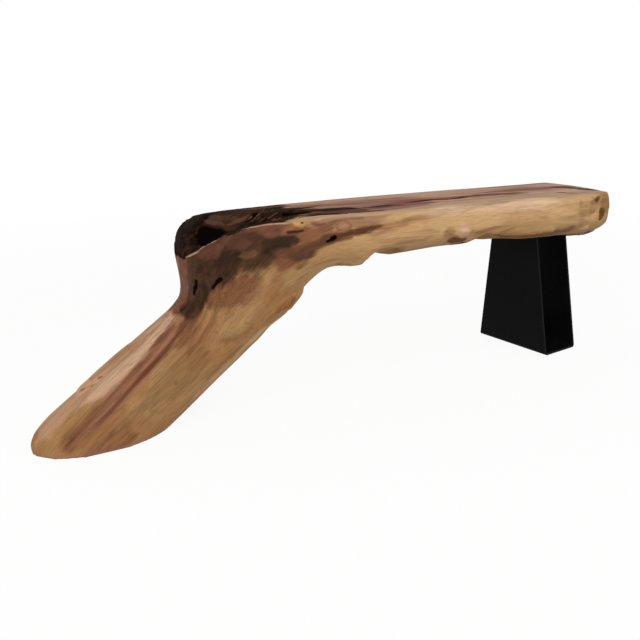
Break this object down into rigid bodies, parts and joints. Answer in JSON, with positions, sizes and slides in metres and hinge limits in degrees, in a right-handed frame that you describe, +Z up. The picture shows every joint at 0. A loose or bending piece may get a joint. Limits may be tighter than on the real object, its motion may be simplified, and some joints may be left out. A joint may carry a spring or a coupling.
{
  "type": "log bench",
  "caption": "Rustic bench: a bent natural log with a flat planed seat, standing on its own root at one end and on a folded black steel leg at the other.",
  "frame": {"origin": "on the floor, under the middle of the bench", "axes": "+X along the seat towards the steel leg, -Y the front, +Z up"},
  "size_m": [1.6045, 0.3807, 0.45],
  "materials": {
    "log_wood": "bare weathered softwood, planed flat on the seat, dark drying cracks and a rotten hollow at the broken end",
    "black_steel": "satin black coating on folded plate",
    "zinc_steel": "zinc plated fasteners"
  },
  "bodies": {
    "root": {"log": "log_wood", "leg_shell": "black_steel", "leg_top_plate": "black_steel", "lag_screw_1": "zinc_steel", "lag_screw_2": "zinc_steel", "lag_screw_3": "zinc_steel", "lag_screw_4": "zinc_steel", "washer_1": "zinc_steel", "washer_2": "zinc_steel", "washer_3": "zinc_steel", "washer_4": "zinc_steel"}
  },
  "joints": []
}
